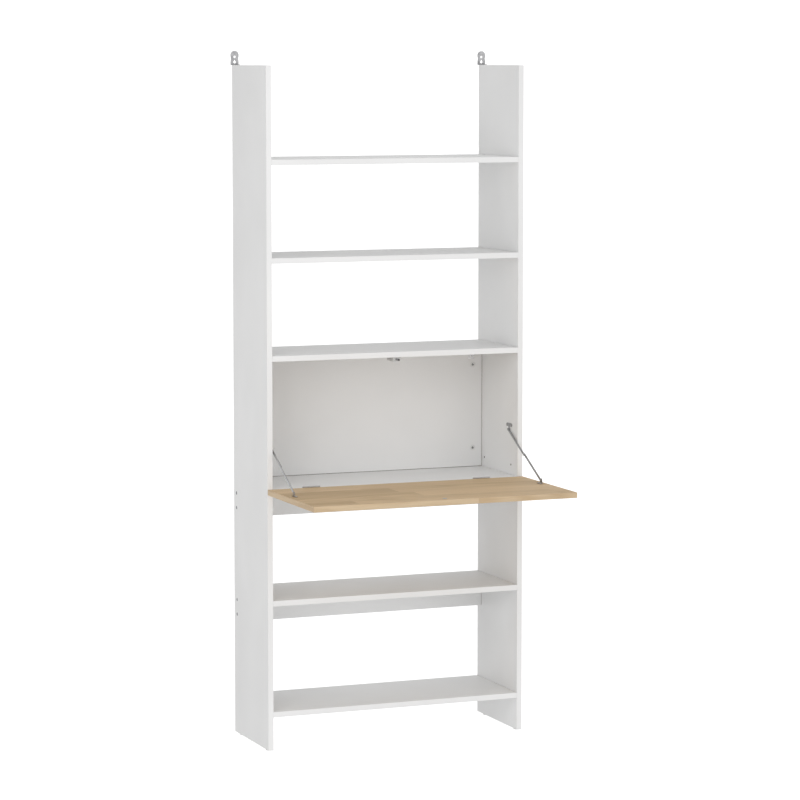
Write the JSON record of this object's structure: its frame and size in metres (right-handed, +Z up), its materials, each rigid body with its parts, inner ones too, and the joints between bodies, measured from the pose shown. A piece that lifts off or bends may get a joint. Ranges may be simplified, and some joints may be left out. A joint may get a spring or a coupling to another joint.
{
  "type": "secretary desk",
  "caption": "Tall open bookcase with a drop-front writing flap on butt hinges, folding stays, a push latch, a closed back behind the desk and wall hangers.",
  "frame": {"origin": "on the floor, under the middle of the whole object with its flap open", "axes": "+Z up; +X to the right seen from the front; +Y from the front to the wall"},
  "size_m": [0.819, 0.6878, 2.0422],
  "materials": {
    "white_laminate": "matt white melamine on chipboard",
    "oak_laminate": "satin oak-pattern melamine on chipboard",
    "steel": "satin",
    "zinc_plate": "bright zinc plated",
    "dark_steel": "satin, darkened",
    "grey_zinc": "die-cast, dull",
    "grey_plastic": "moulded, fine grain",
    "white_plastic": "moulded"
  },
  "bodies": {
    "carcass": {"left_side_panel": "white_laminate", "right_side_panel": "white_laminate", "top_shelf": "white_laminate", "upper_shelf": "white_laminate", "compartment_top": "white_laminate", "desk_deck": "white_laminate", "lower_shelf": "white_laminate", "bottom_shelf": "white_laminate", "back_panel": "white_laminate", "upper_rail": "white_laminate", "lower_rail": "white_laminate", "left_wall_hanger": "zinc_plate", "left_hanger_screw": "dark_steel", "left_hinge_deck_leaf": "steel", "left_hinge_pin": "steel", "left_stay_plate": "steel", "left_angle_bracket": "zinc_plate", "left_upper_rail_top_screw": "dark_steel", "left_upper_rail_bottom_screw": "dark_steel", "left_lower_rail_top_screw": "dark_steel", "left_lower_rail_bottom_screw": "dark_steel", "left_lower_back_cam": "grey_zinc", "left_upper_back_cam": "grey_zinc", "left_front_deck_cam": "grey_zinc", "left_front_glide": "white_plastic", "left_rear_deck_cam": "grey_zinc", "left_rear_glide": "white_plastic", "right_wall_hanger": "zinc_plate", "right_hanger_screw": "dark_steel", "right_hinge_deck_leaf": "steel", "right_hinge_pin": "steel", "right_stay_plate": "steel", "right_angle_bracket": "zinc_plate", "right_upper_rail_top_screw": "dark_steel", "right_upper_rail_bottom_screw": "dark_steel", "right_lower_rail_top_screw": "dark_steel", "right_lower_rail_bottom_screw": "dark_steel", "right_lower_back_cam": "grey_zinc", "right_upper_back_cam": "grey_zinc", "right_front_deck_cam": "grey_zinc", "right_front_glide": "white_plastic", "right_rear_deck_cam": "grey_zinc", "right_rear_glide": "white_plastic", "latch_housing": "grey_plastic"},
    "flap": {"flap": "oak_laminate", "strike_plate": "steel", "left_hinge_flap_leaf": "steel", "left_stay_bracket": "steel", "right_hinge_flap_leaf": "steel", "right_stay_bracket": "steel"},
    "left_upper_link": {"left_upper_link": "steel", "left_elbow_rivet": "steel"},
    "right_upper_link": {"right_upper_link": "steel", "right_elbow_rivet": "steel"},
    "left_lower_link": {"left_lower_link": "steel"},
    "right_lower_link": {"right_lower_link": "steel"},
    "latch_plunger": {"latch_plunger": "grey_plastic"}
  },
  "joints": [
    {"name": "flap_hinge", "type": "hinge", "parent": "carcass", "child": "flap", "pos_m": [0, 0.0425, 0.775], "axis": [-1, 0, 0], "range_deg": [0, 90]},
    {"name": "left_wall_pivot", "type": "hinge", "parent": "carcass", "child": "left_upper_link", "pos_m": [-0.3847, 0.1039, 0.909], "axis": [-1, 0, 0], "range_deg": [0, 139.82]},
    {"name": "left_flap_pivot", "type": "hinge", "parent": "flap", "child": "left_lower_link", "pos_m": [-0.3863, -0.1301, 0.783], "axis": [1, 0, 0], "range_deg": [0, 101.49]},
    {"name": "right_wall_pivot", "type": "hinge", "parent": "carcass", "child": "right_upper_link", "pos_m": [0.3847, 0.1039, 0.909], "axis": [-1, 0, 0], "range_deg": [0, 139.82]},
    {"name": "right_flap_pivot", "type": "hinge", "parent": "flap", "child": "right_lower_link", "pos_m": [0.3863, -0.1301, 0.783], "axis": [1, 0, 0], "range_deg": [0, 101.49]},
    {"name": "latch_plunger_slide", "type": "slide", "parent": "carcass", "child": "latch_plunger", "axis": [0, 1, 0], "range_m": [0, 0.01401]}
  ],
  "couplings": [
    {"joint": "left_wall_pivot", "follows": "flap_hinge", "ratio": 1.5534},
    {"joint": "left_flap_pivot", "follows": "flap_hinge", "ratio": 1.1276},
    {"joint": "right_wall_pivot", "follows": "flap_hinge", "ratio": 1.5534},
    {"joint": "right_flap_pivot", "follows": "flap_hinge", "ratio": 1.1276},
    {"joint": "latch_plunger_slide", "follows": "flap_hinge", "m_per_rad": 0.0089127}
  ]
}
